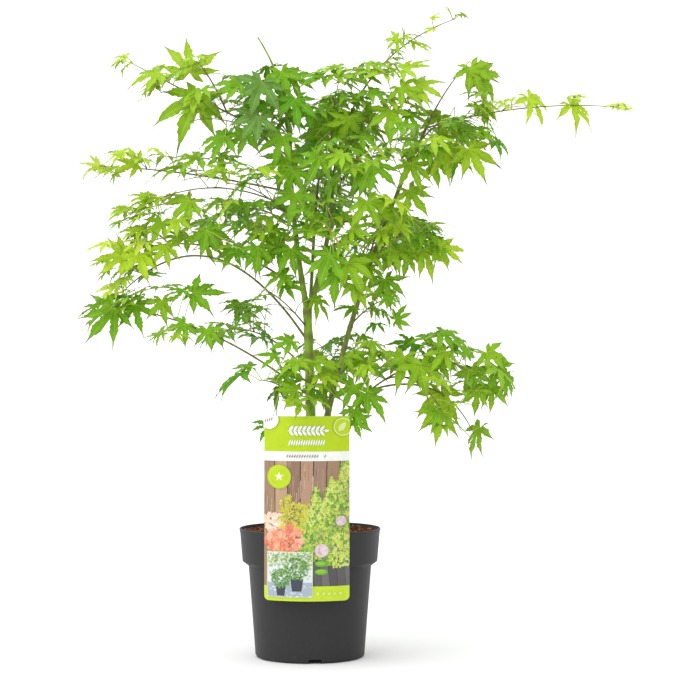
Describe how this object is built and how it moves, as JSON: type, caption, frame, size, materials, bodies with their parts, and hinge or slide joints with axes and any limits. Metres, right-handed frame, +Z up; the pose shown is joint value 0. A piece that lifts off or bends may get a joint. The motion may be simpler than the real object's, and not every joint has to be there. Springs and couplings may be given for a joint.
{
  "type": "potted japanese maple",
  "caption": "Young japanese maple with a slender green trunk, four stems and airy palmate foliage, growing in a black nursery pot with an upright picture label on its rim.",
  "frame": {"origin": "centre of the pot's flat underside, on its axis", "axes": "+Z up along the pot's axis; the care label faces -Y, and the long far shoot reaches to +X"},
  "size_m": [0.7577, 0.4126, 0.868],
  "materials": {
    "pot_plastic": "matt charcoal moulding with fine dust and scuffs",
    "potting_mix": "loose reddish-brown coir and bark fibre",
    "label_card": "printed card, softly glossy",
    "green_bark": "smooth olive green bark with brown nodes",
    "maple_leaf": "thin satin leaf"
  },
  "bodies": {
    "root": {"pot": "pot_plastic", "potting_mix": "potting_mix", "care_label": "label_card", "trunk": "green_bark", "left_stem": "green_bark", "mid_stem": "green_bark", "back_stem": "green_bark", "right_stem": "green_bark", "bough_top_right": "green_bark", "bough_low_right": "green_bark", "bough_low_right_hanging": "green_bark", "bough_low_back": "green_bark", "bough_top_left": "green_bark", "bough_top_left_standing": "green_bark", "bough_left_shoot": "green_bark", "bough_left_mid_back": "green_bark", "bough_left_lime": "green_bark", "bough_left_arch": "green_bark", "bough_low_left": "green_bark", "bough_low_left_back": "green_bark", "foliage_top_right": "maple_leaf", "foliage_top_right_low": "maple_leaf", "foliage_far_right": "maple_leaf", "foliage_right_top": "maple_leaf", "foliage_right_high": "maple_leaf", "foliage_right_high_back": "maple_leaf", "foliage_right_shoulder": "maple_leaf", "foliage_right_mid": "maple_leaf", "foliage_right_mid_front": "maple_leaf", "foliage_right_mid_back": "maple_leaf", "foliage_right_mid_low": "maple_leaf", "foliage_low_right": "maple_leaf", "foliage_low_right_middle": "maple_leaf", "foliage_low_right_hanging": "maple_leaf", "foliage_low_right_inner": "maple_leaf", "foliage_top_middle": "maple_leaf", "foliage_top_back": "maple_leaf", "foliage_middle_front": "maple_leaf", "foliage_middle_low_front": "maple_leaf", "foliage_middle_back": "maple_leaf", "foliage_low_front": "maple_leaf", "foliage_low_back": "maple_leaf", "foliage_leader": "maple_leaf", "foliage_top_left_near": "maple_leaf", "foliage_top_left": "maple_leaf", "foliage_top_left_standing": "maple_leaf", "foliage_upper_left": "maple_leaf", "foliage_upper_left_back": "maple_leaf", "foliage_left_shoot": "maple_leaf", "foliage_left_mid": "maple_leaf", "foliage_left_mid_front": "maple_leaf", "foliage_left_low_front": "maple_leaf", "foliage_left_inner": "maple_leaf", "foliage_left_mid_back": "maple_leaf", "foliage_left_lime": "maple_leaf", "foliage_left_arch": "maple_leaf", "foliage_low_left": "maple_leaf", "foliage_low_left_near": "maple_leaf", "foliage_low_left_inner": "maple_leaf", "foliage_low_left_back": "maple_leaf"}
  },
  "joints": []
}
